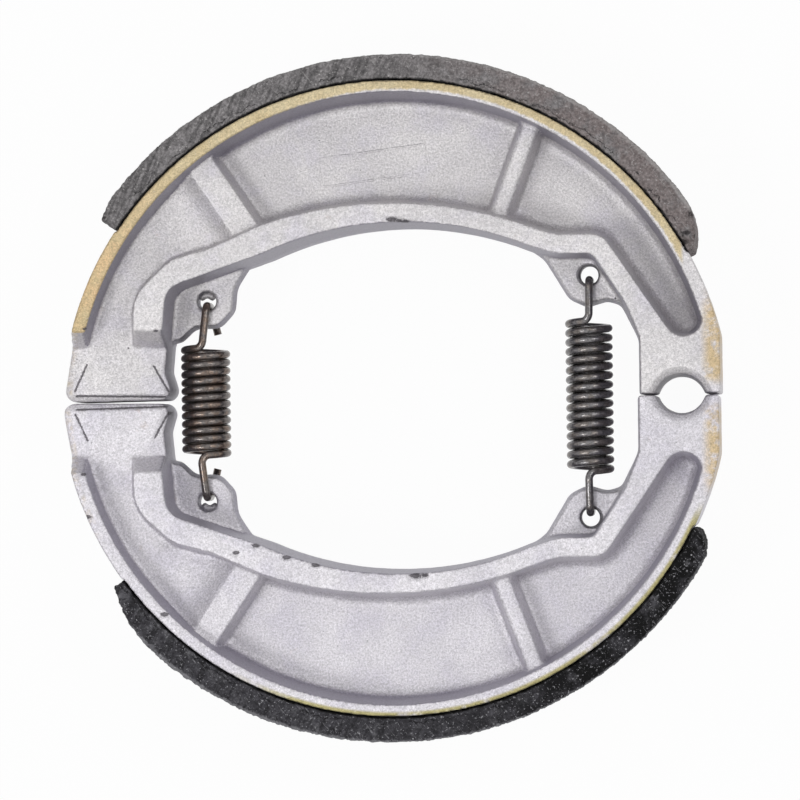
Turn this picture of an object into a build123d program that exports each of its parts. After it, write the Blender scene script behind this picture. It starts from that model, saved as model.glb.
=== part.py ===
from build123d import *
from math import cos, floor, pi, radians, sin, sqrt, tan
import os

# A pair of drum brake shoes, joined by their two return springs.
# Millimetres. X runs from the cam end to the pin end, Y points to the upper shoe and Z is the drum's axis.
# The origin is on the parting line between the shoes, on the face that the pair lies on.

# Width across the drum
shoe_width = 25.0
mid_z = shoe_width / 2

# Friction lining and the seat that it is bonded to
lining_radius = 55.0
lining_thickness = 3.9
glue_line = 0.1
seat_radius = lining_radius - lining_thickness - glue_line
circle_drop = 2.3
lining_wear = 0.35
heel_clearance = 0.25

# Cast rim
rim_thickness = 1.8
rim_radius = seat_radius - rim_thickness
seat_step = 0.3
shoulder_radius = seat_radius + seat_step

# Lining ends: angle, thickness left at the tip and angle of bevel, from the pin end and from the cam end
upper_ends = ((28.0, 1.1, 8.0), (146.0, 2.9, 5.0))
lower_ends = ((26.3, 1.3, 4.5), (144.5, 1.8, 12.5))

# How far each shoe has slid along the parting line, the upper one towards the pin
side_slip = 0.15

# Pin end, set in from the drum
pin_end_x = lining_radius - 5.0
pin_face_gap = 0.15
notch_x = pin_end_x - 6.0
notch_drop = 0.9
notch_radius = 3.7
notch_draft = 0.3
notch_chamfer = 1.0

# Cam end, set in from the drum
head_outer_x = lining_radius - 3.4
head_inner_x = head_outer_x - 16.3
head_corner = 1.7
neck_y = 4.6
neck_outer_x = head_outer_x - 0.75
neck_inner_x = head_inner_x + 0.8
cam_gap_outer = 0.05
cam_gap_inner = 0.3
cam_pad_drop = 5.5
ramp_foot_y = 8.5
ramp_length = 2.3
head_bevel_depth = 1.0
head_bevel_y = 1.2
head_flat_outer = (head_outer_x - 1.4, head_outer_x - 4.4)
head_flat_inner = (head_inner_x + 0.5, head_inner_x + 3.6)

# Inner flange, an arch over the wheel hub
arch_depth = 28.1
arch_top = lining_radius - arch_depth
flange_thickness = 3.0
cam_flange_thickness = 4.5
pin_flange_thickness = 4.2
cam_wall_x = head_inner_x + 0.2
cam_wall_lean = 0.6
shoulder_y = arch_top - 9.6
pin_wall_x = pin_end_x - 12.2
pin_shoulder_x = pin_wall_x - 7.2
pin_shoulder_y = arch_top - 5.2
pin_bend_x = pin_wall_x - 2.2
pin_bend_y = arch_top - 12.8
arch_x = 1.2
arch_cam_x = cam_wall_x - 15.3
arch_cam_y = arch_top - 4.6
cam_arch_run = 8.0
arch_pin_x = pin_shoulder_x - 9.6
arch_pin_y = arch_top - 3.9
pin_arch_run = 4.0
wall_draft = 2.5

# Pockets and ribs
pocket_draft = 5.0
pocket_end_y = 8.6
pocket_end_angle = 16.0
web_thickness = 7.0
floor_fillet = 1.6
rib_drop = 3.5
rib_draft = 8.0
rib_rounding = 0.8
cam_rib_width = 4.1
cam_rib_rim_end = (-arch_cam_x - 8.1, arch_top + 7.6)
cam_rib_flange_end = (-arch_cam_x - 2.7, arch_top - 0.5)
pin_rib_width = 2.6
pin_rib_middle = (arch_pin_x - 2.4, arch_top + 7.45)
pin_rib_turn = 69.3

# Floor that runs down from the cam-side rib, dips and rises again to the cam pad
cam_floor_dip = 0.7
slope_foot = 3.0
dip_middle = 9.0
dip_end = 25.0
floor_end = 45.0

# Spring lugs at mid-depth
lug_thickness = 5.0
lug_bevel = 0.5
parting_land = 0.2
cam_hole_x = cam_wall_x - 5.9
cam_hole_y = arch_top - 11.3
pin_hole_x = pin_wall_x - 8.0
pin_hole_y = arch_top - 8.2
hole_radius = 1.45
hole_chamfer = 0.3

# Corners of the lugs, from their holes, each with its radius, and how deep the lugs are rooted in the walls
cam_lug_corners = ((-4.0, -6.3, 1.2), (-1.9, -4.3, 2.0), (1.9, -4.3, 2.5), (4.3, -1.7, 2.5), (4.6, 1.9, 4.0))
pin_lug_corners = ((-6.9, 2.4, 3.0), (-3.2, -3.7, 3.0), (-0.4, -5.0, 1.6), (2.7, -4.1, 2.0), (4.8, -4.7, 1.6))
cam_lug_foot = 7.0
lug_root = 1.0

# Return springs
wire_diameter = 1.2
wire_radius = wire_diameter / 2
hook_clearance = 0.12
leg_angle = 28.0
leg_bend = 1.3
hook_bend = 1.2
leg_room = 6.4
cam_coil_x = cam_hole_x + 0.4
cam_coil_radius = 3.24
cam_coil_pitch = 1.28
cam_leg_lean = (-0.2, -0.5)
cam_tail = (1.1, -4.4)
pin_coil_x = pin_hole_x - 0.1
pin_coil_radius = 3.08
pin_coil_pitch = 1.45
pin_leg_lean = (0.15, -0.17)
pin_tail = (0.0, -3.4)

# Levels above the mid-plane
half_width = shoe_width / 2
pad_level = half_width - cam_pad_drop
rib_level = half_width - rib_drop
floor_level = web_thickness / 2
lug_level = lug_thickness / 2


def circle_y(radius, x):
    """Height of a circle about the lining's centre over the parting line, at x."""
    return sqrt(radius**2 - x**2) - circle_drop


def polar(radius, angle):
    """Point at a radius and an angle about the lining's centre."""
    return (radius * cos(radians(angle)), radius * sin(radians(angle)) - circle_drop)


def blank():
    """Plan of the shoe without its hollows, from the mid-plane up to the rim's top."""
    pin_top = (pin_end_x, circle_y(shoulder_radius, pin_end_x))
    crown = polar(shoulder_radius, 90)
    neck_top_x = -sqrt(shoulder_radius**2 - (ramp_foot_y + circle_drop) ** 2)
    with BuildPart() as solid:
        with BuildSketch(Plane.XY.offset(mid_z)):
            with BuildLine():
                ThreePointArc(pin_top, crown, (neck_top_x, ramp_foot_y))
                head = FilletPolyline(
                    (neck_top_x, ramp_foot_y),
                    (-neck_outer_x, neck_y),
                    (-head_outer_x, cam_gap_outer),
                    (-cam_wall_x + head_corner, cam_gap_inner),
                    radius=[head_corner, head_corner],
                )
                Polyline(head @ 1, (pin_wall_x, pin_face_gap), (pin_end_x, pin_face_gap), pin_top)
            make_face()
        extrude(amount=half_width)
    return solid.part


def seat_cut(ends):
    """Ring sector that sinks the lining's seat below the rim's two shoulders."""
    tip_angle = ends[0][0] - heel_clearance
    heel_angle = ends[1][0] + heel_clearance
    reach = lining_radius + lining_thickness
    with BuildPart() as solid:
        with BuildSketch(Plane.XY.offset(mid_z)):
            with BuildLine():
                inner = ThreePointArc(
                    polar(seat_radius, tip_angle),
                    polar(seat_radius, (tip_angle + heel_angle) / 2),
                    polar(seat_radius, heel_angle),
                )
                outer = ThreePointArc(
                    polar(reach, tip_angle),
                    polar(reach, (tip_angle + heel_angle) / 2),
                    polar(reach, heel_angle),
                )
                Line(inner @ 0, outer @ 0)
                Line(inner @ 1, outer @ 1)
            make_face()
        extrude(amount=half_width)
    return solid.part


def hub_space():
    """Room for the wheel hub under the arch, drafted so that it is narrowest at mid-depth."""
    clear_y = -3 * circle_drop
    corner_y = cam_gap_inner + head_corner
    with BuildPart() as solid:
        with BuildSketch(Plane.XY.offset(shoe_width)):
            with BuildLine():
                start = Line((-head_inner_x - head_corner, clear_y), (-head_inner_x - head_corner, cam_gap_inner))
                corner = RadiusArc(start @ 1, (-head_inner_x, corner_y), -head_corner)
                cam_side = FilletPolyline(
                    corner @ 1,
                    (-neck_inner_x, neck_y),
                    (-cam_wall_x, ramp_foot_y + ramp_length),
                    (-cam_wall_x + cam_wall_lean, shoulder_y),
                    (-arch_cam_x, arch_cam_y),
                    radius=[head_corner / 2, head_corner, 2 * head_corner],
                )
                arch = ThreePointArc(cam_side @ 1, (arch_x, arch_top), (arch_pin_x, arch_pin_y))
                pin_side = FilletPolyline(
                    arch @ 1,
                    (arch_pin_x + pin_arch_run, pin_shoulder_y),
                    (pin_shoulder_x, pin_shoulder_y),
                    (pin_bend_x, pin_bend_y),
                    (pin_wall_x, pocket_end_y),
                    (pin_wall_x, clear_y),
                    radius=[3 * head_corner, head_corner, 4 * head_corner, 2 * head_corner],
                )
                Line(pin_side @ 1, start @ 0)
            make_face()
        extrude(amount=-half_width, taper=wall_draft)
    return solid.part


def rib_bars():
    """The floor that rises to the cam pad, with the cam-side rib on its edge, and the pin-side rib."""
    along = (Vector(*cam_rib_rim_end) - Vector(*cam_rib_flange_end)).normalized()
    middle = (Vector(*cam_rib_rim_end) + Vector(*cam_rib_flange_end)) / 2
    section = Plane(origin=(middle.X, middle.Y, mid_z), x_dir=(-along.Y, along.X, 0), z_dir=(along.X, along.Y, 0))
    half = cam_rib_width / 2
    foot = half + (rib_level - floor_level) * tan(radians(rib_draft))
    with BuildPart() as cam_floor:
        with BuildSketch(section):
            with BuildLine():
                rib = Polyline((-foot, 0), (-foot, floor_level), (-half, rib_level), (half, rib_level))
                slope = Spline(
                    rib @ 1,
                    (half + slope_foot, pad_level),
                    (half + dip_middle, pad_level - cam_floor_dip),
                    (half + dip_end, pad_level),
                    tangents=[(1, -1), (1, 0)],
                )
                Polyline(slope @ 1, (half + floor_end, pad_level), (half + floor_end, 0), rib @ 0)
            make_face()
        extrude(amount=2 * cam_wall_x, both=True)
    turn = radians(pin_rib_turn)
    base_width = pin_rib_width + 2 * rib_level * tan(radians(rib_draft))
    with BuildPart() as pin_rib:
        with BuildSketch(Plane(origin=(*pin_rib_middle, mid_z), x_dir=(cos(turn), sin(turn), 0))):
            Rectangle(rim_radius - arch_top, base_width)
        extrude(amount=rib_level, taper=rib_draft)
        fillet(pin_rib.faces().sort_by(Axis.Z)[-1].edges().sort_by(SortBy.LENGTH)[-2:], rib_rounding)
    return cam_floor.part, pin_rib.part


def pocket_space():
    """Hollow between rim and flange, less its ribs and the raised floor at the cam end."""
    cam_x = -cam_wall_x - cam_flange_thickness
    end_y = ramp_foot_y - ramp_length
    rim_cam_x = -sqrt(rim_radius**2 - (end_y + circle_drop) ** 2)
    rim_pin = polar(rim_radius, pocket_end_angle)
    cam_floor, pin_rib = rib_bars()
    with BuildPart() as hollow:
        with BuildSketch(Plane.XY.offset(shoe_width)) as outline:
            with BuildLine():
                rim = ThreePointArc(rim_pin, polar(rim_radius, 90), (rim_cam_x, end_y))
                closing = Line(rim @ 1, (cam_x, end_y))
                cam_side = FilletPolyline(
                    closing @ 1,
                    (cam_x, shoulder_y - 1),
                    (-cam_wall_x + 1.5, shoulder_y + cam_flange_thickness),
                    (-arch_cam_x - cam_arch_run, arch_cam_y + lug_root),
                    (-arch_cam_x, arch_cam_y + cam_flange_thickness),
                    radius=[4 * head_corner, 3 * head_corner, 3 * head_corner],
                )
                arch = ThreePointArc(
                    cam_side @ 1,
                    (arch_x, arch_top + flange_thickness),
                    (arch_pin_x, arch_pin_y + flange_thickness),
                )
                pin_side = FilletPolyline(
                    arch @ 1,
                    (arch_pin_x + pin_arch_run, pin_shoulder_y + flange_thickness),
                    (pin_shoulder_x + flange_thickness / 2, pin_shoulder_y + flange_thickness),
                    (pin_wall_x + pin_flange_thickness, pocket_end_y + flange_thickness / 2),
                    radius=[3 * head_corner, 2 * head_corner],
                )
                TangentArc(pin_side @ 1, rim @ 0, tangent=pin_side % 1)
            make_face()
            sharp = (rim @ 0, rim @ 1, closing @ 1, arch @ 0, arch @ 1)
            fillet([outline.vertices().sort_by_distance(point)[0] for point in sharp], head_corner)
        extrude(amount=floor_level - half_width)
        walls = hollow.faces().filter_by(lambda face: abs(face.normal_at().Z) < 0.5)
        draft(walls, Plane.XY.offset(shoe_width), -pocket_draft)
        fillet(hollow.faces().sort_by(Axis.Z)[0].edges(), floor_fillet)
        add(cam_floor, mode=Mode.SUBTRACT)
        add(pin_rib, mode=Mode.SUBTRACT)
    return hollow.part


def cam_cut():
    """What is cut away over the cam pad, with the ramps that rim and flange come down on."""
    high = half_width + cam_pad_drop
    with BuildPart() as solid:
        with BuildSketch(Plane(origin=(0, 0, mid_z), x_dir=(0, 1, 0), z_dir=(1, 0, 0))):
            Polygon(
                (-circle_drop, pad_level),
                (ramp_foot_y, pad_level),
                (ramp_foot_y + ramp_length, half_width),
                (ramp_foot_y + ramp_length, high),
                (-circle_drop, high),
                align=None,
            )
        extrude(amount=-lining_radius)
    return solid.part


def head_cut():
    """Shallow bevels round the cam head, along its face and down both of its sides."""
    flat_level = mid_z + pad_level
    edge_level = flat_level - head_bevel_depth
    outer_x = head_outer_x + head_bevel_depth
    inner_x = head_inner_x - head_bevel_depth
    with BuildPart() as head:
        with BuildSketch(Plane.XY.offset(flat_level)):
            Polygon(
                (-head_flat_outer[0], head_bevel_y),
                (-head_flat_inner[0], head_bevel_y),
                (-head_flat_inner[1], ramp_foot_y),
                (-head_flat_outer[1], ramp_foot_y),
                align=None,
            )
        with BuildSketch(Plane.XY.offset(edge_level)):
            Polygon((-outer_x, 0), (-inner_x, 0), (-inner_x, ramp_foot_y), (-outer_x, ramp_foot_y), align=None)
        loft()
    with BuildPart() as waste:
        with BuildSketch(Plane.XY.offset(edge_level)):
            Polygon((-outer_x, 0), (-inner_x, 0), (-inner_x, ramp_foot_y), (-outer_x, ramp_foot_y), align=None)
        extrude(amount=2 * head_bevel_depth)
        add(head.part, mode=Mode.SUBTRACT)
    return waste.part


def notch_cut(slip):
    """Half-round seat for the anchor pin, drafted, chamfered and in line through both shoes."""
    centre = (notch_x - slip, -notch_drop, mid_z)
    with BuildPart() as solid:
        with BuildSketch(Plane(origin=centre, x_dir=(1, 0, 0), z_dir=(0, -1, 0))):
            Polygon(
                (0, 0),
                (notch_radius, 0),
                (notch_radius + notch_draft, half_width - notch_chamfer),
                (notch_radius + notch_draft + notch_chamfer, half_width),
                (0, half_width),
                align=None,
            )
        revolve(axis=Axis(centre, (0, 0, 1)))
    return solid.part


def lug_plate(points, corner_radii, closing):
    """Upper half of one spring lug: a plate from mid-depth up, bevelled like a drafted casting."""
    with BuildPart() as solid:
        with BuildSketch(Plane.XY.offset(mid_z)):
            with BuildLine():
                edge = FilletPolyline(*points, radius=corner_radii)
                Polyline(edge @ 1, *closing, edge @ 0)
            make_face()
        extrude(amount=lug_level)
        top = solid.faces().sort_by(Axis.Z)[-1]
        chamfer(top.edges(), lug_bevel, lug_level - parting_land, reference=top)
    return solid.part


def cam_lug():
    """Half lug that carries the cam-side spring."""
    bury_x = -cam_wall_x - lug_root
    bury_y = arch_cam_y + lug_root
    corners = [(dx - cam_hole_x, dy + cam_hole_y) for dx, dy, radius in cam_lug_corners]
    points = [(bury_x, cam_hole_y - cam_lug_foot), *corners, (-arch_cam_x - lug_root, bury_y)]
    return lug_plate(points, [radius for dx, dy, radius in cam_lug_corners], [(bury_x, bury_y)])


def pin_lug():
    """Half lug that carries the pin-side spring."""
    bury_x = pin_wall_x + lug_root
    bury_y = arch_pin_y + lug_root
    corners = [(dx + pin_hole_x, dy + pin_hole_y) for dx, dy, radius in pin_lug_corners]
    points = [(arch_pin_x - 2 * lug_root, bury_y), *corners, (pin_wall_x - lug_root / 2, pocket_end_y)]
    return lug_plate(points, [radius for dx, dy, radius in pin_lug_corners], [(bury_x, pocket_end_y), (bury_x, bury_y)])


def lug_hole(x, y):
    """Upper half of a lug's hole, with a small chamfer at its mouth."""
    with BuildPart() as solid:
        with BuildSketch(Plane(origin=(x, y, mid_z), x_dir=(1, 0, 0), z_dir=(0, -1, 0))):
            Polygon(
                (0, -hole_chamfer),
                (hole_radius, -hole_chamfer),
                (hole_radius, lug_level - hole_chamfer),
                (hole_radius + hole_chamfer, lug_level),
                (0, lug_level),
                align=None,
            )
        revolve(axis=Axis((x, y, mid_z), (0, 0, 1)))
    return solid.part


def casting(ends, slip):
    """One shoe as the upper one lies, cast symmetric about its mid-plane."""
    with BuildPart() as solid:
        add(blank())
        add(seat_cut(ends), mode=Mode.SUBTRACT)
        add(pocket_space(), mode=Mode.SUBTRACT)
        add(cam_cut(), mode=Mode.SUBTRACT)
        add(hub_space(), mode=Mode.SUBTRACT)
        add(head_cut(), mode=Mode.SUBTRACT)
        add(notch_cut(slip), mode=Mode.SUBTRACT)
        add(cam_lug())
        add(pin_lug())
        add(lug_hole(-cam_hole_x, cam_hole_y), mode=Mode.SUBTRACT)
        add(lug_hole(pin_hole_x, pin_hole_y), mode=Mode.SUBTRACT)
        mirror(about=Plane.XY.offset(mid_z))
    return solid.part


def lining(ends, wear):
    """Friction lining, a ring sector that is worn off centre and rounded off at both ends."""
    inner_radius = seat_radius + glue_line
    (pin_angle, pin_tip, pin_bevel), (cam_angle, cam_tip, cam_bevel) = ends
    middle = (pin_angle + cam_angle) / 2
    outer_points = []
    for angle in (pin_angle + pin_bevel, middle, cam_angle - cam_bevel):
        outer_points.append(Vector(*polar(lining_radius, angle)) + Vector(wear, 0))
    with BuildPart() as solid:
        with BuildSketch():
            with BuildLine():
                inner = ThreePointArc(
                    polar(inner_radius, pin_angle), polar(inner_radius, middle), polar(inner_radius, cam_angle)
                )
                outer = ThreePointArc(*outer_points)
                pin_toe = TangentArc(outer @ 0, polar(inner_radius + pin_tip, pin_angle), tangent=-(outer % 0))
                cam_toe = TangentArc(outer @ 1, polar(inner_radius + cam_tip, cam_angle), tangent=outer % 1)
                Line(inner @ 0, pin_toe @ 1)
                Line(inner @ 1, cam_toe @ 1)
            make_face()
        extrude(amount=shoe_width)
    return solid.part


def spring(coil_x, coil_radius, pitch, leg_lean, hooks, tail):
    """Extension spring along Y: a close coil, and at each end a leg, a hook through its lug and a tail."""
    leg_share = 2 * leg_angle / 360
    turns = floor(2 * (hooks[0][1] - leg_room) / pitch + leg_share)
    height = pitch * (turns - leg_share)
    leg_z = lug_level + hook_clearance + wire_radius
    slope_y = pitch / (2 * pi)
    slope_x = coil_radius * cos(radians(leg_angle))
    slope_z = coil_radius * sin(radians(leg_angle))
    start = Vector(slope_z, -height / 2, slope_x)
    coil_plane = Plane(origin=(coil_x, start.Y, mid_z), x_dir=(slope_z, 0, slope_x), z_dir=(0, 1, 0))
    coil = coil_plane * Helix(pitch, height, coil_radius)
    with BuildPart() as solid:
        with BuildLine() as path:
            add(coil)
            for side, lean, (hook_x, hook_y) in zip((1, -1), leg_lean, hooks):
                root = Vector(coil_x - side * start.X, -side * start.Y, mid_z + start.Z)
                reach = (coil_x + lean - root.X) / (side * slope_x)
                bend = root + Vector(side * slope_x, side * slope_y, slope_z) * reach
                FilletPolyline(
                    root,
                    bend,
                    (hook_x, side * hook_y, mid_z + leg_z),
                    (hook_x, side * hook_y, mid_z - leg_z),
                    (hook_x + tail[0], side * (hook_y + tail[1]), mid_z - leg_z),
                    radius=[leg_bend, hook_bend, hook_bend],
                )
        wire = path.wires()[0]
        with BuildSketch(Plane(origin=wire @ 0, z_dir=wire % 0)):
            Circle(wire_radius)
        sweep(path=wire)
    return solid.part


hook_lift = hole_radius - hook_clearance - wire_radius
cam_hooks = [(-cam_hole_x + slip, cam_hole_y - hook_lift) for slip in (side_slip, -side_slip)]
pin_hooks = [(pin_hole_x + slip, pin_hole_y - hook_lift) for slip in (side_slip, -side_slip)]

upper_casting = casting(upper_ends, side_slip)
with BuildPart() as upper_shoe:
    with Locations((side_slip, 0, 0)):
        add(upper_casting)
upper_shoe.part.label = "upper_shoe"

lower_casting = casting(lower_ends, -side_slip)
with BuildPart() as lower_shoe:
    with Locations((-side_slip, 0, 0)):
        add(mirror(lower_casting, about=Plane.XZ, mode=Mode.PRIVATE))
lower_shoe.part.label = "lower_shoe"

with BuildPart() as upper_lining:
    with Locations((side_slip, 0, 0)):
        add(lining(upper_ends, lining_wear))
upper_lining.part.label = "upper_lining"

with BuildPart() as lower_lining:
    with Locations((-side_slip, 0, 0)):
        add(mirror(lining(lower_ends, -lining_wear), about=Plane.XZ, mode=Mode.PRIVATE))
lower_lining.part.label = "lower_lining"

with BuildPart() as cam_side_spring:
    add(spring(-cam_coil_x, cam_coil_radius, cam_coil_pitch, cam_leg_lean, cam_hooks, cam_tail))
cam_side_spring.part.label = "cam_side_spring"

with BuildPart() as pin_side_spring:
    add(spring(pin_coil_x, pin_coil_radius, pin_coil_pitch, pin_leg_lean, pin_hooks, pin_tail))
pin_side_spring.part.label = "pin_side_spring"

os.makedirs("parts", exist_ok=True)
for piece in (upper_shoe, lower_shoe, upper_lining, lower_lining, cam_side_spring, pin_side_spring):
    export_step(piece.part, "parts/" + piece.part.label + ".step")
    print(piece.part.label, piece.part.is_valid, len(piece.part.solids()), round(piece.part.volume, 1))
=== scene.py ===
from math import cos, pi, radians, sin

import bmesh
import bpy
import numpy as np
from mathutils import Matrix, Vector


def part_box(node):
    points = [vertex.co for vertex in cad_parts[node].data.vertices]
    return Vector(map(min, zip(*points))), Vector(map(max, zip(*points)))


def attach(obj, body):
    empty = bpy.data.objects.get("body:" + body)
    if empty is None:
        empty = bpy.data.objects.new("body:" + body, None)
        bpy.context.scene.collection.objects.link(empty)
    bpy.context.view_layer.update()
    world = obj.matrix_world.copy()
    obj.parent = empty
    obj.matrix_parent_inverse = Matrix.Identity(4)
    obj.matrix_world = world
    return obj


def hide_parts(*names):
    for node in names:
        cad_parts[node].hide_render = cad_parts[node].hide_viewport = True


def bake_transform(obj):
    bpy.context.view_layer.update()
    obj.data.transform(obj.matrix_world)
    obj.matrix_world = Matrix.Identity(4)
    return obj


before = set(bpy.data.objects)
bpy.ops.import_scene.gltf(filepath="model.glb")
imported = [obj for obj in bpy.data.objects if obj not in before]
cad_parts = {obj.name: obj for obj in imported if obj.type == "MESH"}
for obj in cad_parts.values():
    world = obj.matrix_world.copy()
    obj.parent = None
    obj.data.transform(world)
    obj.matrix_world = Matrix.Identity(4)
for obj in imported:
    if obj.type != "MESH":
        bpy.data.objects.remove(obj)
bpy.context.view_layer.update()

SEED = 7
SCREEN_GAMMA = 2.2

# Lengths are metres, and the patterns of the finishes are laid out in millimetres.
MM = 0.001


def srgb(red, green, blue):
    """Linear colour from the three values of 255 that a screen would show."""
    return tuple((value / 255) ** SCREEN_GAMMA for value in (red, green, blue)) + (1.0,)


# The shoes, as the frame has them; the holes are given for the upper one, in millimetres
top_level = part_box("upper_shoe")[1].z
mid_level = top_level / 2
side_slip = 0.15 * MM
circle_drop = 2.3 * MM
cam_hole = (-29.6, 15.6)
pin_hole = (29.8, 18.7)
hole_radius = 1.45

# The camera stands high over the pair, a little to the pin's side, and is turned by a hair
camera_side = 62.3 * MM
camera_below = 11.9 * MM
camera_height = 833 * MM
camera_turn = radians(0.76)
aim_side = 1.16 * MM
aim_below = 0.32 * MM
camera_lens = 245.8
camera_sensor = 36
camera_reach = 10

# Light comes mostly from the left and a little from the right, high up
sky_strength = 0.51
left_lamp = {"place": (-0.5, -0.25, 1.0), "size": 0.32, "power": 3.0}
right_lamp = {"place": (0.55, 0.2, 1.0), "size": 0.32, "power": 1.4}
floor_size = 3.0
floor_white = 0.96
floor_shade = (0.86, 0.86, 0.87, 1)

# Skins of the castings and the linings
cast_voxel = 0.25 * MM
lining_voxel = 0.3 * MM
merge_distance = 0.001 * MM
triangle_budget = 190000
face_weight = 50
cast_smoothing = 8
lining_smoothing = 2

# Unevenness of the skins: its height, the length of its waves, and the noise level that stays in place
cast_waves = (0.06 * MM, 1.5 * MM, 0.5)
upper_lining_waves = (0.5 * MM, 0.9 * MM, 0.6)
lower_lining_waves = (0.8 * MM, 0.9 * MM, 0.6)
wave_depth = 2

# Dents and nicks in the upper faces: x, y, radius and depth in millimetres
upper_dents = (
    (-10.3, 25.1, 0.5, 0.35),
    (-6.8, 26.0, 0.35, 0.3),
    (0.2, 27.3, 0.7, 0.6),
    (1.3, 27.1, 0.5, 0.6),
    (2.3, 26.9, 0.6, 0.5),
    (-47.2, 11.3, 0.4, 0.3),
    (-36.3, 10.8, 0.35, 0.3),
    (-35.6, 1.9, 0.5, 0.3),
    (-34.8, 4.0, 0.7, 0.4),
    (-47.9, 4.2, 0.6, 0.3),
    (-20.3, 30.4, 0.3, 0.2),
)
lower_dents = (
    (3.2, -27.2, 0.8, 0.6),
    (4.6, -27.1, 0.5, 0.5),
    (-16.6, -24.2, 0.6, 0.4),
    (-21.3, -22.3, 0.5, 0.4),
    (-12.2, -25.4, 0.6, 0.4),
    (-31.2, -17.8, 0.5, 0.3),
    (-24.4, -23.4, 0.5, 0.3),
    (-44.1, -8.2, 0.4, 0.3),
    (-47.7, -11.0, 0.5, 0.3),
    (-47.2, -17.6, 0.5, 0.3),
    (-35.5, -32.7, 0.6, 0.3),
    (-34.9, -4.4, 0.6, 0.4),
)

# Chips broken off the ends and edges of the linings, in the same way
upper_chips = (
    (46.4, 27.4, 0.9, 1.6),
    (45.2, 24.6, 0.6, 0.9),
    (44.9, 23.2, 0.7, 1.1),
    (46.9, 24.0, 0.6, 1.2),
    (-43.4, 26.6, 0.7, 1.2),
    (-44.3, 28.3, 0.5, 0.8),
)
lower_chips = (
    (47.6, -20.6, 1.2, 1.6),
    (48.6, -23.0, 0.9, 1.4),
    (42.6, -32.6, 0.7, 1.0),
    (-41.8, -29.8, 0.8, 1.2),
    (-37.8, -37.6, 0.6, 1.0),
    (-20.6, -50.6, 0.6, 1.0),
)

# A dent is drawn out along x and squeezed along y, reaches past its radius by a share,
# and fades out below the top face over some millimetres
dent_stretch = (1.6, 0.8)
dent_spread = 1.2
dent_fade = 3
dent_raggedness = (0.5, 1.0)

# Creases round the cam heads, on the upper shoe: from x, y to x, y in millimetres
head_creases = (
    (-49.4, 1.05, -35.6, 0.75),
    (-49.6, 1.8, -47.7, 5.9),
    (-35.1, 1.6, -37.3, 5.5),
)
crease_width = 0.22
crease_depth = 0.12
crease_spread = 1.3
crease_fade = 8
# Share of the painted shade that the creases get in the finish
crease_mark = 0.8

# Flash in the cam-side holes; all but the thickness in millimetres
flash_steps = 24
flash_overlap = 0.1
flash_least = 0.12
flash_wave = 0.35
flash_waves = 3
flash_thickness = 0.3 * MM

# Empty frame that stands proud of the upper shoe's pocket floor, in millimetres
plate_centre = (-3.2, 36.1)
plate_half = (8.3, 2.2)
plate_tilt = radians(7)
plate_rounding = 0.8
plate_line = (0.22, 0.06)
plate_levels = (6, 5)

# Where the finishes of the castings begin and end: from nothing to full, in millimetres.
# Radii are measured from the drum's axis, and levels from the mid-plane.
seam_levels = (0.22, 0.08)
face_levels = (12.0, 12.35)
stain_radii = (49.9, 50.3)
stain_end_x = (44.9, 44.2)
wide_stain_x = (10, -30)
deep_stain_x = (-30, -46)
strip_radii = (50.1, 50.6)
strip_x = (-28, -15)
strip_y = (-16, -20)
margin_x = (46.8, 48.8)
margin_low_y = (1.0, 3.0)
margin_high_y = (17, 12)
outer_wall_radii = (50.0, 50.6)
outer_wall_x = (-44, -48)
# Painted shade on the feet of the pocket walls fades in towards the cam over these x
painted_shade_foot_x = (25, 5)
grime_band = (-0.3, 0.25)
ring_softness = 0.15

# The same for the linings
far_end_x = (-5, 30)
sawn_x = (-10, 15)
saw_angle = radians(66)
scratch_angle = radians(128)
bond_radii = (51.0, 50.75)
frayed_radii = (55.0, 55.4)
crack_radius = 50.4
crack_wander = 3.0
crack_width = (0.1, 0.03)

# Colours of the castings
# The walls tone of each silver is painted shade on the steep inward walls, darker on the upper shoe
upper_silver = {"dull": srgb(207, 204, 206), "bright": srgb(217, 214, 215), "walls": srgb(138, 134, 149)}
lower_silver = {"dull": srgb(211, 208, 214), "bright": srgb(221, 218, 223), "walls": srgb(162, 158, 172)}
cool_patch = srgb(200, 196, 209)
rusty_patch = srgb(190, 164, 148)
painted_seam_highlight = srgb(226, 223, 229)
rim_tan = srgb(206, 191, 156)
deep_tan = srgb(214, 184, 142)
patchy_tan = srgb(196, 178, 140)
olive_strip = srgb(164, 154, 84)
margin_tan = srgb(200, 174, 126)
outer_tan = srgb(190, 168, 124)
grime_and_painted_shade = srgb(78, 74, 80)

# Colours and gloss of the linings: far is the tone at the pin end, chip the broken places
grey_lining = {
    "body": srgb(122, 119, 120),
    "fleck": srgb(186, 183, 182),
    "far": srgb(122, 104, 100),
    "far_share": 0.4,
    "chip": srgb(52, 49, 50),
    "gloss": 0.4,
}
dark_lining = {
    "body": srgb(66, 65, 69),
    "fleck": srgb(178, 177, 182),
    "far": srgb(14, 14, 15),
    "far_share": 1.0,
    "chip": srgb(118, 117, 122),
    "gloss": 0.15,
}
crack_black = srgb(20, 19, 20)

# Colours of the wires, dark and browned
cam_side_tones = (srgb(106, 101, 99), srgb(114, 100, 91))
pin_side_tones = (srgb(112, 110, 111), srgb(114, 108, 104))


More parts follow.
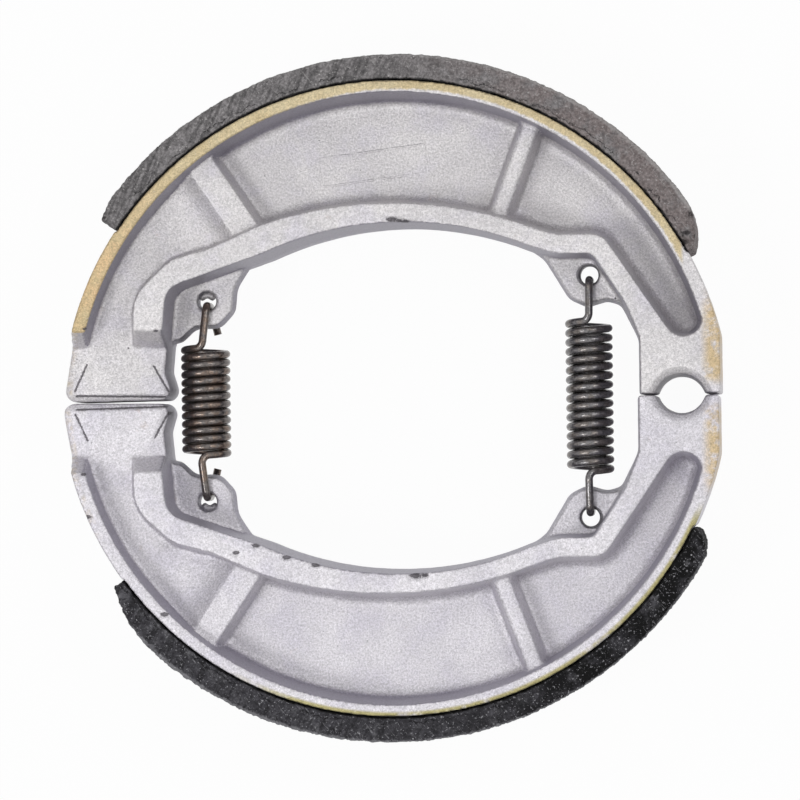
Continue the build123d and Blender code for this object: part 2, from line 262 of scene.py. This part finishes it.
class Finish:
    """A material whose node graph is built one node at a time."""

    def __init__(self, name):
        self.material = bpy.data.materials.new(name)
        self.material.use_nodes = True
        self.tree = self.material.node_tree
        self.tree.nodes.clear()
        self.output = self.node("ShaderNodeOutputMaterial")
        place = self.node("ShaderNodeTexCoord").outputs["Object"]
        self.place = self.vector("MULTIPLY", place, (1 / MM, 1 / MM, 1 / MM))
        self.x, self.y, self.z = self.parts(self.place)

    def node(self, kind, inputs=None, **settings):
        """A node with its settings, and with each input linked or set."""
        made = self.tree.nodes.new(kind)
        for key, value in settings.items():
            setattr(made, key, value)
        for key, value in (inputs or {}).items():
            self.feed(made.inputs[key], value)
        return made

    def feed(self, socket, value):
        """Links the socket to another one, or sets it."""
        if isinstance(value, bpy.types.NodeSocket):
            self.tree.links.new(value, socket)
        else:
            socket.default_value = value

    def parts(self, vector):
        return self.node("ShaderNodeSeparateXYZ", {0: vector}).outputs

    def vector(self, operation, a, b):
        return self.node("ShaderNodeVectorMath", {0: a, 1: b}, operation=operation).outputs[0]

    def math(self, operation, a, b=0.0):
        return self.node("ShaderNodeMath", {0: a, 1: b}, operation=operation).outputs[0]

    def turned(self, place, angle):
        """The place turned back by an angle about the upright axis."""
        inputs = {"Vector": place, "Angle": -angle}
        return self.node("ShaderNodeVectorRotate", inputs, rotation_type="Z_AXIS").outputs[0]

    def spots(self, size, detail=2.0, roughness=0.5, shift=0.0):
        """Soft noise from 0 to 1 whose blobs are about size millimetres across."""
        moved = self.vector("ADD", self.place, (shift, shift * 2, shift * 3))
        inputs = {"Vector": moved, "Scale": 1 / size, "Detail": detail, "Roughness": roughness}
        return self.node("ShaderNodeTexNoise", inputs).outputs[0]

    def pits(self, spacing, radius, shift=0.0):
        """Ragged dots in a few of the cells. The spacing is in millimetres, and the radius a share of it."""
        moved = self.vector("ADD", self.place, (shift, shift, shift))
        cells = self.node("ShaderNodeTexVoronoi", {"Vector": moved, "Scale": 1 / spacing})
        raggedness = self.both(self.spots(0.3 * spacing, 2), radius)
        ragged = self.math("ADD", cells.outputs["Distance"], raggedness)
        near = self.rise(ragged, 1.6 * radius, radius)
        chosen = self.rise(self.parts(cells.outputs["Color"])[0], 0.7, 0.75)
        return self.math("MULTIPLY", near, chosen)

    def streaks(self, angle, length, width, shift=0.0):
        """Noise drawn out into lines that run at an angle across the faces, in radians and millimetres."""
        drawn = self.vector("MULTIPLY", self.turned(self.place, angle), (1 / length, 1 / width, 1 / width))
        moved = self.vector("ADD", drawn, (shift, shift, shift))
        return self.node("ShaderNodeTexNoise", {"Vector": moved, "Scale": 1.0, "Detail": 2.0}).outputs[0]

    def rise(self, value, low, high):
        """0 below low and 1 above high, or the other way round, with a smooth step between them."""
        inputs = {"Value": value, "From Min": low, "From Max": high}
        return self.node("ShaderNodeMapRange", inputs, interpolation_type="SMOOTHSTEP").outputs[0]

    def between(self, share, low, high):
        """A value that goes from low to high as the share goes from 0 to 1."""
        inputs = {"Value": share, "To Min": low, "To Max": high}
        return self.node("ShaderNodeMapRange", inputs).outputs[0]

    def both(self, *masks):
        """The masks times each other."""
        product = masks[0]
        for mask in masks[1:]:
            product = self.math("MULTIPLY", product, mask)
        return product

    def mix(self, share, a, b):
        """Colour a where the share is 0, and colour b where it is 1."""
        inputs = {"Factor": share, 6: a, 7: b}
        return self.node("ShaderNodeMix", inputs, data_type="RGBA").outputs[2]

    def shade(self, share, colour, low, high):
        """The colour times a grey from low to high."""
        grey = self.math("MULTIPLY_ADD", share, high - low)
        grey.node.inputs[2].default_value = low
        vector = colour if isinstance(colour, bpy.types.NodeSocket) else colour[:3]
        return self.node("ShaderNodeVectorMath", {0: vector, 3: grey}, operation="SCALE").outputs[0]

    def off_middle(self):
        """Distance from the shoes' mid-plane, in millimetres."""
        return self.math("ABSOLUTE", self.math("SUBTRACT", self.z, mid_level / MM))

    def radius(self, centre_x, centre_y):
        """Distance in the plan from a centre given in millimetres, as the distance is."""
        flat = self.node("ShaderNodeCombineXYZ", {0: self.x, 1: self.y, 2: 0.0}).outputs[0]
        away = self.vector("SUBTRACT", flat, (centre_x, centre_y, 0))
        return self.node("ShaderNodeVectorMath", {0: away}, operation="LENGTH").outputs["Value"]

    def drum_radius(self, side):
        """Distance from the axis of the drum that this side's lining is ground to, in millimetres."""
        return self.radius(side * side_slip / MM, -side * circle_drop / MM)

    def ring(self, centre_x, centre_y, low, high):
        """1 between two distances from a centre in the plan, softly ended."""
        reach = self.radius(centre_x, centre_y)
        outside = self.rise(reach, low - ring_softness, low)
        return self.both(outside, self.rise(reach, high + ring_softness, high))

    def knocks(self):
        """How far each place of the mesh lies into a dent, a chip or a crease, from 0 to 1."""
        return self.node("ShaderNodeAttribute", attribute_name="wear_and_shade").outputs["Fac"]

    def bump(self, height, depth):
        """Relief of depth millimetres."""
        inputs = {"Height": height, "Distance": depth * MM, "Strength": 1.0}
        return self.node("ShaderNodeBump", inputs).outputs[0]

    def surfaced(self, colour, metallic, roughness, normal, gloss=0.5):
        """The material, with its shader's sockets linked or set."""
        inputs = {
            "Base Color": colour,
            "Metallic": metallic,
            "Roughness": roughness,
            "Specular IOR Level": gloss,
            "Normal": normal,
        }
        shader = self.node("ShaderNodeBsdfPrincipled", inputs)
        self.feed(self.output.inputs["Surface"], shader.outputs[0])
        return self.material


def patched_silver(f, tones):
    """Silver of two near tones, with cool patches and a few rusty ones."""
    colour = f.mix(f.rise(f.spots(9), 0.35, 0.65), tones["dull"], tones["bright"])
    cool = f.both(f.rise(f.spots(6, 3, 0.6, 31), 0.45, 0.7), 0.4)
    rust = f.both(f.rise(f.spots(3.5, 4, 0.7, 41), 0.66, 0.78), 0.3)
    return f.mix(rust, f.mix(cool, colour, cool_patch), rusty_patch)


def wall_and_shade_masks(f):
    """Masks of all steep walls, and of the painted shade on inward walls and on the feet of the walls by the
    cam.
    """
    normal = f.node("ShaderNodeNewGeometry").outputs["Normal"]
    upright = f.math("ABSOLUTE", f.parts(normal)[2])
    across = f.math("ABSOLUTE", f.parts(normal)[1])
    steep = f.rise(upright, 0.4, 0.15)
    foot = f.both(f.rise(upright, 0.85, 0.5), f.rise(across, 0.4, 0.7), f.rise(f.x, *painted_shade_foot_x))
    wall = f.math("MAXIMUM", steep, foot)
    facing = f.node("ShaderNodeVectorMath", {0: normal, 1: f.place}, operation="DOT_PRODUCT")
    return steep, f.both(wall, f.rise(facing.outputs["Value"], 5, -15), 0.8)


def parting_seam(f, steep):
    """Mask of the broken line that the halves of the mould left round the walls at mid height."""
    line = f.rise(f.off_middle(), *seam_levels)
    return f.both(line, steep, f.rise(f.spots(1.5, 3, 0.7, 83), 0.36, 0.5))


def stained_rim(f, colour, reach):
    """The upper shoe's rim with tan lacquer along its faces, wider and deeper towards the cam."""
    ragged = f.math("ADD", reach, f.both(f.spots(0.8, 3, 0.7), 0.8))
    ragged = f.math("ADD", ragged, f.both(f.rise(f.x, *wide_stain_x), 0.7))
    worn = f.rise(f.spots(0.5, 3, 0.7, 51), 0.2, 0.36)
    face = f.rise(f.off_middle(), *face_levels)
    stain = f.both(f.rise(ragged, *stain_radii), face, worn, f.rise(f.x, *stain_end_x))
    tan = f.mix(f.rise(f.x, *deep_stain_x), rim_tan, deep_tan)
    patches = f.rise(f.spots(4, 4, 0.65, 23), 0.3, 0.65)
    return f.mix(stain, colour, f.mix(patches, tan, patchy_tan))


def striped_rim(f, colour, reach):
    """The lower shoe's rim with a thin olive strip of glue beside its lining."""
    face = f.rise(f.off_middle(), *face_levels)
    strip = f.both(f.rise(reach, *strip_radii), face, f.rise(f.x, *strip_x), f.rise(f.y, *strip_y))
    patches = f.rise(f.spots(4, 4, 0.65, 23), 0.3, 0.65)
    return f.mix(f.both(strip, f.rise(patches, -0.2, 0.6), 0.85), colour, olive_strip)


def yellowed_ends(f, colour, reach):
    """Tan margin at the pin's end, and a tan tinge on the outer wall of the cam's end."""
    from_line = f.math("ABSOLUTE", f.y)
    height = f.both(f.rise(from_line, *margin_low_y), f.rise(from_line, *margin_high_y))
    patches = f.rise(f.spots(2, 4, 0.65), 0.34, 0.56)
    colour = f.mix(f.both(f.rise(f.x, *margin_x), height, patches, 0.85), colour, margin_tan)
    outer_wall = f.both(f.rise(reach, *outer_wall_radii), f.rise(f.x, *outer_wall_x))
    tinge = f.both(outer_wall, f.rise(f.spots(1.2, 4, 0.7), 0.4, 0.7), 0.45)
    return f.mix(tinge, colour, outer_tan)


def grime_and_shade_places(f, side):
    """Mask of the pits, of the dents and creases, whose darkening is painted shade, and of the dirty ring
    round the pin-side hole.
    """
    pitted = f.math("MAXIMUM", f.pits(5, 0.035), f.both(f.pits(2.1, 0.05, 5), 0.7))
    uneven_knocks = f.math("ADD", f.knocks(), f.both(f.spots(0.5, 4, 0.8, 61), 1.2))
    knocked = f.rise(uneven_knocks, 1.0, 1.22)
    inner, outer = (hole_radius + edge for edge in grime_band)
    dirty_ring = f.both(f.ring(pin_hole[0], side * pin_hole[1], inner, outer), 0.7)
    return f.math("MAXIMUM", f.math("MAXIMUM", pitted, knocked), dirty_ring)


def plate_edge(f):
    """Mask of the empty frame's thin raised border, on the pocket floor alone."""
    away = f.vector("SUBTRACT", f.place, (*plate_centre, 0))
    along, across = f.parts(f.turned(away, plate_tilt))[:2]
    over_end = f.math("SUBTRACT", f.math("ABSOLUTE", along), plate_half[0])
    over_side = f.math("SUBTRACT", f.math("ABSOLUTE", across), plate_half[1])
    inputs = {0: over_end, 1: over_side, 2: plate_rounding}
    outside = f.node("ShaderNodeMath", inputs, operation="SMOOTH_MAX").outputs[0]
    border = f.rise(f.math("ABSOLUTE", outside), *plate_line)
    return f.both(border, f.rise(f.off_middle(), *plate_levels))


def cast_aluminium(name, side):
    """Sandy die-cast aluminium. The side is 1 on the upper shoe, and -1 on the lower one."""
    f = Finish(name)
    tones = upper_silver if side > 0 else lower_silver
    steep, shaded = wall_and_shade_masks(f)
    seam = parting_seam(f, steep)
    # Painted shade on the walls that look inwards and on the feet of the walls by the cam
    colour = f.mix(shaded, patched_silver(f, tones), tones["walls"])
    # The seam is lighter as a painted highlight along its ridge; the ridge itself is a bump further down
    colour = f.mix(f.both(seam, 0.7), colour, painted_seam_highlight)

    reach = f.drum_radius(side)
    tinted_rim = stained_rim if side > 0 else striped_rim
    colour = yellowed_ends(f, tinted_rim(f, colour, reach), reach)
    # Darker pits, painted shade in the dents and creases, and a dirty ring round the pin-side hole
    dark = grime_and_shade_places(f, side)
    colour = f.mix(f.both(dark, 0.85), colour, grime_and_painted_shade)

    sand = f.spots(0.34, 2, 0.7)
    dust = f.spots(0.19, 2, 0.6, 11)
    colour = f.shade(f.rise(sand, 0.3, 0.7), colour, 0.77, 1.13)
    colour = f.shade(f.rise(dust, 0.3, 0.7), colour, 0.84, 1.14)
    height = f.math("ADD", sand, f.both(dust, 0.6))
    height = f.math("SUBTRACT", f.math("ADD", height, f.both(seam, 1.5)), f.both(dark, 1.2))
    if side > 0:
        border = f.both(plate_edge(f), f.rise(f.spots(1.2, 2), 0.3, 0.6), 0.8)
        height = f.math("ADD", height, border)
    return f.surfaced(colour, 0.45, f.between(sand, 0.36, 0.54), f.bump(height, 0.08))


def friction_lining(name, side, tones):
    """Moulded friction material with pale flecks, scratched and sawn, of another tone at the pin end."""
    f = Finish(name)
    fleck = tones["fleck"]
    colour = f.shade(f.rise(f.spots(0.9, 4, 0.7), 0.3, 0.7), tones["body"], 0.62, 1.35)
    blotches = f.rise(f.spots(2.2, 4, 0.7, 17), 0.5, 0.72)
    colour = f.mix(f.both(blotches, 0.22), colour, fleck)
    far_end = f.both(f.rise(f.x, *far_end_x), f.rise(f.spots(3, 4, 0.6), 0.3, 0.55), tones["far_share"])
    colour = f.mix(far_end, colour, tones["far"])

    sawn = f.math("MAXIMUM", f.rise(f.streaks(saw_angle, 9, 0.7), 0.36, 0.52), f.rise(f.x, *sawn_x))
    colour = f.shade(sawn, colour, 0.58, 1.08)
    scratches = f.rise(f.streaks(scratch_angle, 5, 0.35, 7), 0.66, 0.72)
    colour = f.mix(f.both(scratches, 0.35), colour, fleck)
    colour = f.shade(f.rise(f.spots(0.4, 2, 0.6, 71), 0.35, 0.65), colour, 0.72, 1.22)
    flecks = f.rise(f.spots(0.36, 3, 0.75, 3), 0.6, 0.67)
    colour = f.mix(f.both(flecks, 0.85), colour, fleck)
    colour = f.mix(f.pits(1.3, 0.12, 9), colour, fleck)

    reach = f.drum_radius(side)
    wander = f.both(f.spots(2.4, 4, 0.75, 29), crack_wander)
    from_crack = f.math("ABSOLUTE", f.math("SUBTRACT", reach, f.math("ADD", wander, crack_radius)))
    crack = f.both(f.rise(from_crack, *crack_width), f.rise(f.spots(3, 2, 0.5, 37), 0.45, 0.55), 0.8)
    bond = f.rise(f.math("SUBTRACT", reach, f.both(f.spots(1.1, 4, 0.7, 43), 0.9)), *bond_radii)
    dark = f.math("MAXIMUM", bond, crack)
    colour = f.mix(dark, colour, crack_black)
    frayed = f.both(f.rise(f.math("ADD", reach, f.spots(0.6, 3, 0.7)), *frayed_radii), 0.45)
    colour = f.mix(frayed, colour, fleck)
    broken_off = f.rise(f.math("ADD", f.knocks(), f.spots(0.6, 4, 0.8, 61)), 0.8, 1.05)
    colour = f.mix(f.both(broken_off, 0.8), colour, tones["chip"])

    height = f.math("SUBTRACT", f.spots(0.5, 4, 0.75), f.both(scratches, 0.4))
    height = f.math("ADD", height, f.math("SUBTRACT", f.both(sawn, 0.5), dark))
    return f.surfaced(colour, 0.0, 0.7, f.bump(height, 0.14), tones["gloss"])


def spring_steel(name, tones):
    """Oil-darkened spring wire with brown patches and fine drawing marks."""
    f = Finish(name)
    dark, brown = tones
    colour = f.mix(f.rise(f.spots(1.6, 4, 0.65), 0.42, 0.62), dark, brown)
    grain = f.spots(0.3, 3, 0.7, 2)
    colour = f.shade(f.rise(grain, 0.3, 0.7), colour, 0.55, 1.5)
    return f.surfaced(colour, 0.8, f.between(grain, 0.12, 0.32), f.bump(grain, 0.03), 0.8)


def paper_floor(name):
    """White floor that stays white behind the object and keeps a soft shadow."""
    f = Finish(name)
    path = f.node("ShaderNodeLightPath").outputs
    mirrored = f.math("MAXIMUM", path["Is Glossy Ray"], path["Is Transmission Ray"])
    seen = f.math("MAXIMUM", path["Is Camera Ray"], mirrored)
    plain = f.node("ShaderNodeBsdfDiffuse", {"Color": floor_shade}).outputs[0]
    white = f.node("ShaderNodeEmission", {"Color": (1, 1, 1, 1), "Strength": 1.0}).outputs[0]
    blend = f.node("ShaderNodeMixShader", {0: f.both(seen, floor_white), 1: plain, 2: white}).outputs[0]
    f.feed(f.output.inputs["Surface"], blend)
    return f.material


def pale_sky():
    """A sky that lights the object softly, and that the lens and the metal see as white."""
    world = bpy.data.worlds.new("sky")
    bpy.context.scene.world = world
    world.use_nodes = True
    tree = world.node_tree
    tree.nodes.clear()
    path = tree.nodes.new("ShaderNodeLightPath").outputs
    mirrored = tree.nodes.new("ShaderNodeMath")
    mirrored.operation = "MAXIMUM"
    tree.links.new(path["Is Glossy Ray"], mirrored.inputs[0])
    tree.links.new(path["Is Transmission Ray"], mirrored.inputs[1])
    seen = tree.nodes.new("ShaderNodeMath")
    seen.operation = "MAXIMUM"
    tree.links.new(path["Is Camera Ray"], seen.inputs[0])
    tree.links.new(mirrored.outputs[0], seen.inputs[1])
    strength = tree.nodes.new("ShaderNodeMapRange")
    strength.inputs["To Min"].default_value = sky_strength
    strength.inputs["To Max"].default_value = 1.0
    tree.links.new(seen.outputs[0], strength.inputs["Value"])
    sky = tree.nodes.new("ShaderNodeBackground")
    sky.inputs["Color"].default_value = (1, 1, 1, 1)
    tree.links.new(strength.outputs[0], sky.inputs["Strength"])
    output = tree.nodes.new("ShaderNodeOutputWorld")
    tree.links.new(sky.outputs[0], output.inputs["Surface"])


def soft_lamp(name, given):
    """A round lamp that shines on the middle of the floor."""
    lamp = bpy.data.lights.new(name, "AREA")
    lamp.shape = "DISK"
    lamp.size = given["size"]
    lamp.energy = given["power"]
    softbox = bpy.data.objects.new(name, lamp)
    bpy.context.scene.collection.objects.link(softbox)
    softbox.location = given["place"]
    softbox.rotation_euler = Vector(given["place"]).to_track_quat("Z", "Y").to_euler()


def place_camera():
    """The photographer's view, straight down with a slight lean, framed without any shift."""
    turn = Matrix.Rotation(-camera_turn, 3, "Z")
    place = turn @ Vector((camera_side, -camera_below, top_level + camera_height))
    aim = turn @ Vector((aim_side, -aim_below, top_level))
    back = (place - aim).normalized()
    right = (turn @ Vector((0, 1, 0))).cross(back).normalized()
    axes = Matrix((right, back.cross(right), back)).transposed()
    lens = bpy.data.cameras.new("camera")
    lens.lens = camera_lens
    lens.sensor_width = camera_sensor
    lens.clip_end = camera_reach
    camera = bpy.data.objects.new("camera", lens)
    camera.matrix_world = Matrix.Translation(place) @ axes.to_4x4()
    bpy.context.scene.collection.objects.link(camera)
    bpy.context.scene.camera = camera


def new_piece(name, mesh, finish):
    """An object for a finished mesh, shaded smooth, with its finish."""
    mesh.name = name
    mesh.materials.clear()
    mesh.materials.append(finish)
    mesh.polygons.foreach_set("use_smooth", np.ones(len(mesh.polygons), bool))
    piece = bpy.data.objects.new(name, mesh)
    bpy.context.scene.collection.objects.link(piece)
    return piece


def merged_copy(node):
    """The CAD node's mesh with its loose triangles sewn together."""
    sewn = bmesh.new()
    sewn.from_mesh(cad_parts[node].data)
    bmesh.ops.remove_doubles(sewn, verts=sewn.verts, dist=merge_distance)
    mesh = bpy.data.meshes.new(node + "_copy")
    sewn.to_mesh(mesh)
    sewn.free()
    return mesh


def applied(mesh, *modifiers):
    """The mesh after a stack of modifiers, each given as its kind and its settings."""
    holder = bpy.data.objects.new("holder", mesh)
    bpy.context.scene.collection.objects.link(holder)
    for kind, settings in modifiers:
        modifier = holder.modifiers.new(kind.lower(), kind)
        for key, value in settings.items():
            setattr(modifier, key, value)
    shown = holder.evaluated_get(bpy.context.evaluated_depsgraph_get())
    result = bpy.data.meshes.new_from_object(shown)
    bpy.data.objects.remove(holder)
    return result


def clouds(name, size):
    """Soft noise for a surface's unevenness."""
    texture = bpy.data.textures.new(name, "CLOUDS")
    texture.noise_scale = size
    texture.noise_depth = wave_depth
    return texture


def corners(mesh):
    """The places of the mesh's corners, one row each."""
    points = np.empty(len(mesh.vertices) * 3)
    mesh.vertices.foreach_get("co", points)
    return points.reshape(-1, 3)


def kept_inside(mesh, node):
    """The mesh with each corner held inside the CAD node's own box."""
    low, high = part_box(node)
    points = corners(mesh).clip(np.array(low), np.array(high))
    mesh.vertices.foreach_set("co", points.ravel())
    return mesh


def skin(node, voxel, smoothing, waves):
    """A fine, softly edged skin over a copy of the CAD node, as uneven as a rough casting or moulding."""
    size = voxel
    height, length, level = waves
    texture = clouds(node + "_wave", length)
    return applied(
        merged_copy(node),
        ("REMESH", {"mode": "VOXEL", "voxel_size": size, "adaptivity": 0.0}),
        ("SMOOTH", {"factor": 0.5, "iterations": smoothing}),
        ("DISPLACE", {"texture": texture, "strength": height, "mid_level": level}),
    )


def lightened(mesh, node):
    """The mesh inside the node's box, within the triangle budget, with normals that favour large faces."""
    triangles = 2 * len(mesh.polygons)
    steps = [("WEIGHTED_NORMAL", {"weight": face_weight})]
    if triangles > triangle_budget:
        steps.insert(0, ("DECIMATE", {"ratio": triangle_budget / triangles}))
    return kept_inside(applied(kept_inside(mesh, node), *steps), node)


def dent_shares(points, dents):
    """The depth of each dent, and how deep each point lies in it, from 0 at its rim to 1 at its middle."""
    stretch_x, stretch_y = dent_stretch
    for x, y, radius, depth in dents:
        along = (points[:, 0] / MM - x) / stretch_x
        across = (points[:, 1] / MM - y) / stretch_y
        away = np.hypot(along, across) / radius
        near_top = np.clip((points[:, 2] - top_level) / MM / dent_fade + 1, 0, 1)
        yield depth, np.clip(dent_spread - away, 0, 1) * near_top


def crease_shares(points, side):
    """How near each point of the faces that look up lies to the creases of the cam head, from 0 to 1."""
    plan = points[:, :2] / MM * (1, side)
    near_top = np.clip((points[:, 2] - top_level) / MM / crease_fade + 2, 0, 1)
    for x, y, end_x, end_y in head_creases:
        start, run = np.array((x, y)), np.array((end_x - x, end_y - y))
        along = np.clip((plan - start) @ run / (run @ run), 0, 1)
        away = np.linalg.norm(plan - start - along[:, None] * run, axis=1)
        yield np.clip(crease_spread - away / crease_width, 0, 1) * near_top


def dented(mesh, side, dents):
    """The mesh with small ragged hollows knocked into it from above, and with the creases of its cam head."""
    points = corners(mesh)
    ragged = np.random.default_rng(SEED).uniform(*dent_raggedness, len(points))
    for depth, share in dent_shares(points, dents):
        points[:, 2] -= share * ragged * depth * MM
    for share in crease_shares(points, side):
        points[:, 2] -= share * ragged * crease_depth * MM
    mesh.vertices.foreach_set("co", points.ravel())
    return mesh


def marked(mesh, side, dents):
    """The mesh with an attribute by which its finish darkens the dents and creases as painted shade, and
    colours a lining's chips.
    """
    points = corners(mesh)
    wear_and_shade = np.zeros(len(points))
    for depth, share in dent_shares(points, dents):
        wear_and_shade = np.maximum(wear_and_shade, share)
    for share in crease_shares(points, side):
        wear_and_shade = np.maximum(wear_and_shade, crease_mark * share)
    mesh.attributes.new("wear_and_shade", "FLOAT", "POINT").data.foreach_set("value", wear_and_shade)
    return mesh


def make_casting(node, side, body, dents):
    """A shoe's casting, dented and creased, in place of its CAD node."""
    rough = skin(node, cast_voxel, cast_smoothing, cast_waves)
    mesh = marked(lightened(dented(rough, side, dents), node), side, dents)
    finish = cast_aluminium(node + "_finish", side)
    piece = new_piece(node + "_casting", mesh, finish)
    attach(piece, body)
    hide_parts(node)


def make_flash(side, body):
    """Thin web of flash left in the cam-side hole, on the side away from the coil."""
    web = bmesh.new()
    reach = hole_radius + flash_overlap
    outline = []
    for step in range(flash_steps + 1):
        angle = pi * step / flash_steps
        outline.append((reach * cos(angle), side * (reach * sin(angle) + flash_overlap)))
    for step in range(flash_steps - 1, 0, -1):
        angle = pi * step / flash_steps
        ragged = flash_wave * sin(flash_waves * angle) ** 2 + flash_least
        outline.append((reach * cos(angle), side * ragged))
    hole_x, hole_y = cam_hole[0], side * cam_hole[1]
    edge = [web.verts.new(((hole_x + x) * MM, (hole_y + y) * MM, mid_level)) for x, y in outline]
    face = web.faces.new(edge)
    raised = bmesh.ops.extrude_face_region(web, geom=[face])["geom"]
    lifted = [part for part in raised if isinstance(part, bmesh.types.BMVert)]
    bmesh.ops.translate(web, verts=lifted, vec=(0, 0, flash_thickness))
    bmesh.ops.triangulate(web, faces=web.faces)
    bmesh.ops.recalc_face_normals(web, faces=web.faces)
    mesh = bpy.data.meshes.new("flash")
    web.to_mesh(mesh)
    web.free()
    piece = new_piece(body + "_flash", mesh, cast_aluminium(body + "_flash_finish", side))
    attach(piece, body)


def make_lining(node, side, finish, body, waves, chips):
    """A shoe's lining, rough and chipped, in place of its CAD node."""
    rough = skin(node, lining_voxel, lining_smoothing, waves)
    mesh = marked(lightened(dented(rough, side, chips), node), side, chips)
    piece = new_piece(node + "_block", mesh, finish)
    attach(piece, body)
    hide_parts(node)


def make_spring(node, finish):
    """The wire, a sewn copy of the CAD node's mesh, in place of the node."""
    piece = new_piece(node + "_wire", merged_copy(node), finish)
    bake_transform(piece)
    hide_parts(node)


def make_floor():
    """The white sheet that the pair lies on."""
    sheet = bmesh.new()
    bmesh.ops.create_grid(sheet, x_segments=1, y_segments=1, size=floor_size / 2)
    mesh = bpy.data.meshes.new("floor")
    sheet.to_mesh(mesh)
    sheet.free()
    new_piece("floor", mesh, paper_floor("paper"))


bpy.context.scene.view_settings.view_transform = "Standard"
place_camera()
pale_sky()
soft_lamp("left_lamp", left_lamp)
soft_lamp("right_lamp", right_lamp)
make_floor()
make_casting("upper_shoe", 1, "upper", upper_dents)
make_casting("lower_shoe", -1, "lower", lower_dents)
make_flash(1, "upper")
make_flash(-1, "lower")
grey_friction = friction_lining("grey_friction", 1, grey_lining)
make_lining("upper_lining", 1, grey_friction, "upper", upper_lining_waves, upper_chips)
dark_friction = friction_lining("dark_friction", -1, dark_lining)
make_lining("lower_lining", -1, dark_friction, "lower", lower_lining_waves, lower_chips)
make_spring("cam_side_spring", spring_steel("brown_wire", cam_side_tones))
make_spring("pin_side_spring", spring_steel("black_wire", pin_side_tones))
